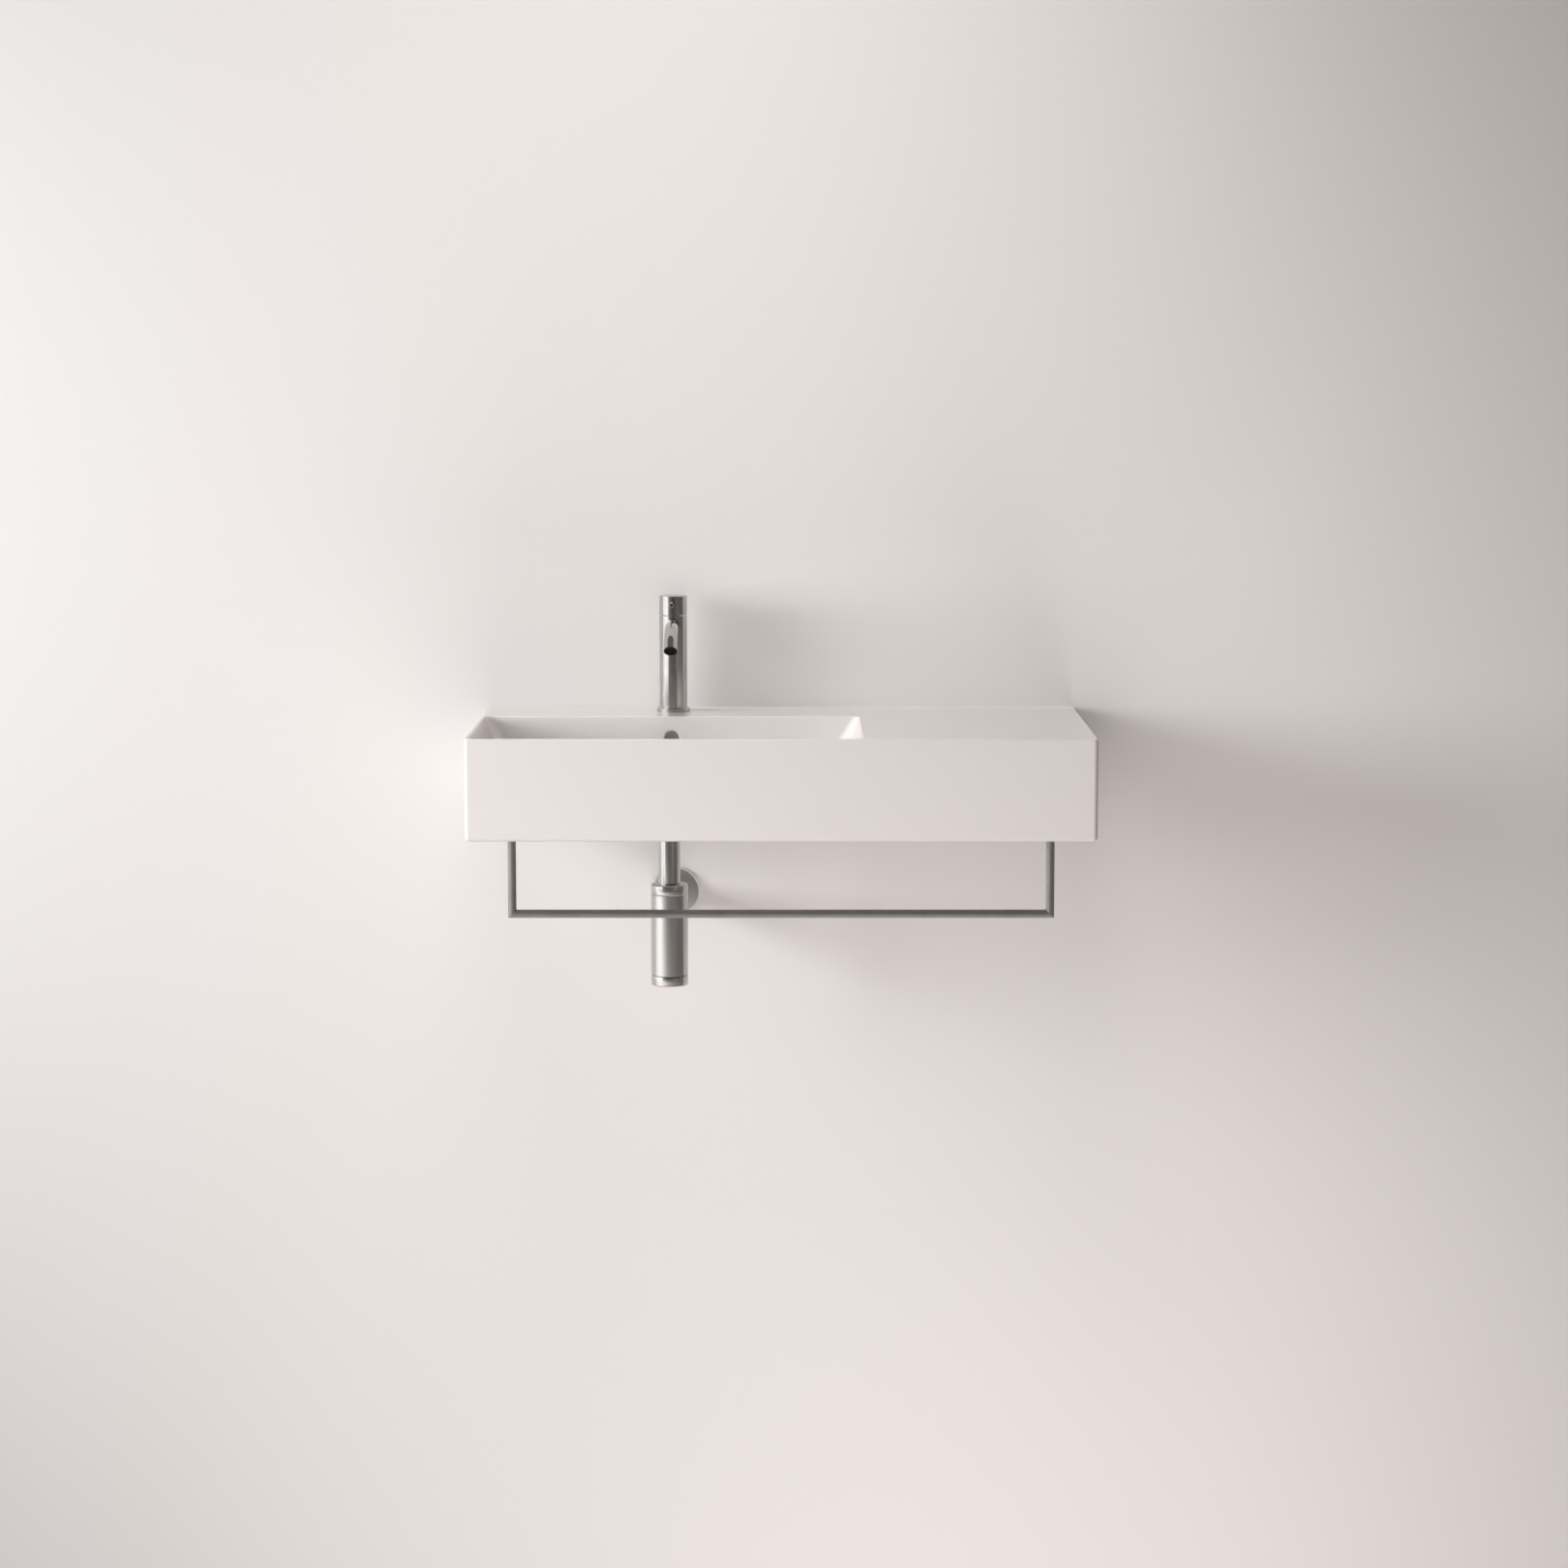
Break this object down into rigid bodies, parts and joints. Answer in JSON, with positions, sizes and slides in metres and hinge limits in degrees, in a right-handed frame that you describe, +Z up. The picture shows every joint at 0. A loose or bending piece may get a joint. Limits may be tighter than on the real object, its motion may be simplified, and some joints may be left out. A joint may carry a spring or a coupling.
{
  "type": "wall-hung washbasin",
  "caption": "Wall-hung rectangular ceramic basin with a bowl on the left, a shelf on the right, a single-lever mixer, a bottle trap and a towel rail underneath.",
  "frame": {"origin": "on the wall plane, midway between the two wall bolts", "axes": "+X to the right seen from the front, +Y into the wall, +Z up"},
  "size_m": [0.9, 0.52, 0.5563],
  "materials": {
    "glaze": "gloss glaze",
    "chrome_polished": "polished",
    "chrome_satin": "satin",
    "rail_steel": "satin brushed",
    "zinc_steel": "zinc plated",
    "plain_brass": "machined",
    "white_plastic": "moulded",
    "black_plastic": "moulded",
    "black_rubber": "matt"
  },
  "bodies": {
    "basin": {"ceramic_basin": "glaze", "tap_base_ring": "chrome_polished", "tap_body": "chrome_polished", "spout_tube": "chrome_polished", "waste_body": "chrome_polished", "tailpipe": "chrome_satin", "trap_collar": "chrome_satin", "trap_body": "chrome_satin", "trap_cup": "chrome_satin", "outlet_arm": "chrome_satin", "outlet_nut": "chrome_satin", "wall_rosette": "chrome_satin", "union_nut": "chrome_satin", "towel_rail": "rail_steel", "wall_bolts": "zinc_steel", "wall_washers": "zinc_steel", "wall_nuts": "zinc_steel", "mounting_stud": "zinc_steel", "clamp_plate": "zinc_steel", "rail_studs": "zinc_steel", "rail_washers": "zinc_steel", "rail_nuts": "zinc_steel", "cartridge_nut": "plain_brass", "clamp_nut": "plain_brass", "waste_lock_nut": "plain_brass", "inlet_tails": "plain_brass", "wall_bushes": "white_plastic", "cartridge_body": "white_plastic", "click_cartridge": "white_plastic", "aerator_housing": "black_plastic", "aerator_screen": "black_plastic", "tap_base_seal": "black_rubber", "clamp_seal": "black_rubber", "waste_top_seal": "black_rubber", "waste_bottom_seal": "black_rubber", "union_seal": "black_rubber", "collar_seal": "black_rubber", "cup_seal": "black_rubber", "outlet_seal": "black_rubber", "rail_seats": "black_rubber"},
    "turret": {"cartridge_turret": "white_plastic", "pivot_pin": "zinc_steel"},
    "handle": {"cartridge_stem": "plain_brass", "handle_cap": "chrome_polished", "lever_pin": "chrome_polished", "grub_screw": "zinc_steel"},
    "plug": {"plug_cap": "chrome_polished", "plug_seal": "black_rubber", "plug_stem": "zinc_steel"}
  },
  "joints": [
    {"name": "handle_turn", "type": "hinge", "parent": "basin", "child": "turret", "pos_m": [-0.164, -0.061, 0.2179], "axis": [0, 0, 1], "range_deg": [-45, 45]},
    {"name": "handle_lift", "type": "hinge", "parent": "turret", "child": "handle", "pos_m": [-0.164, -0.061, 0.2179], "axis": [-1, 0, 0], "range_deg": [0, 20]},
    {"name": "plug_lift", "type": "slide", "parent": "basin", "child": "plug", "axis": [0, 0, 1], "range_m": [0, 0.008]}
  ]
}
